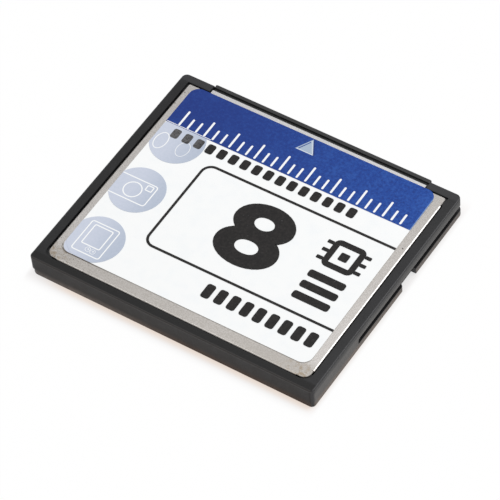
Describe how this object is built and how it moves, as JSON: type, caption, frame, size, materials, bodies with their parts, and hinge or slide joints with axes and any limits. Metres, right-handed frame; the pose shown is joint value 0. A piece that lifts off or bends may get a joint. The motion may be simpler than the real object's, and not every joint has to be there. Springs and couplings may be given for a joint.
{
  "type": "flash memory card",
  "caption": "Flat memory card in a grey plastic frame with stainless covers, a printed label and a two-row socket along one edge.",
  "frame": {"origin": "centre of the card's footprint, on the surface that it lies on", "axes": "+X across the card in the label's reading direction, +Y towards the socket edge, which goes into the host first, +Z out of the label side"},
  "size_m": [0.0428, 0.0364, 0.0033],
  "materials": {
    "frame_plastic": "fine matt dark grey moulding",
    "cover_steel": "stainless sheet with a fine grain",
    "socket_plastic": "matt dark grey moulding",
    "contact_metal": "gold plated spring strip",
    "board_laminate": "green solder mask",
    "chip_moulding": "matt black moulding",
    "lead_metal": "tinned leads",
    "capacitor_ceramic": "tan ceramic",
    "resistor_ceramic": "black glazed ceramic",
    "insulating_film": "amber film",
    "label_film": "white printed film",
    "label_blue": "blue print",
    "label_pale": "pale blue print",
    "label_black": "black print"
  },
  "bodies": {
    "root": {"bottom_frame": "frame_plastic", "top_frame": "frame_plastic", "top_cover": "cover_steel", "bottom_cover": "cover_steel", "socket_block": "socket_plastic", "contacts_upper_row": "contact_metal", "contacts_lower_row": "contact_metal", "circuit_board": "board_laminate", "flash_chip_back": "chip_moulding", "flash_chip_front": "chip_moulding", "flash_leads_back": "lead_metal", "flash_leads_front": "lead_metal", "controller_chip": "chip_moulding", "capacitors": "capacitor_ceramic", "resistor_arrays": "resistor_ceramic", "supply_regulator": "chip_moulding", "upper_insulator": "insulating_film", "lower_insulator": "insulating_film", "label_sheet": "label_film", "label_band": "label_blue", "label_arrow": "label_pale", "label_discs": "label_pale", "label_line": "label_black"}
  },
  "joints": []
}
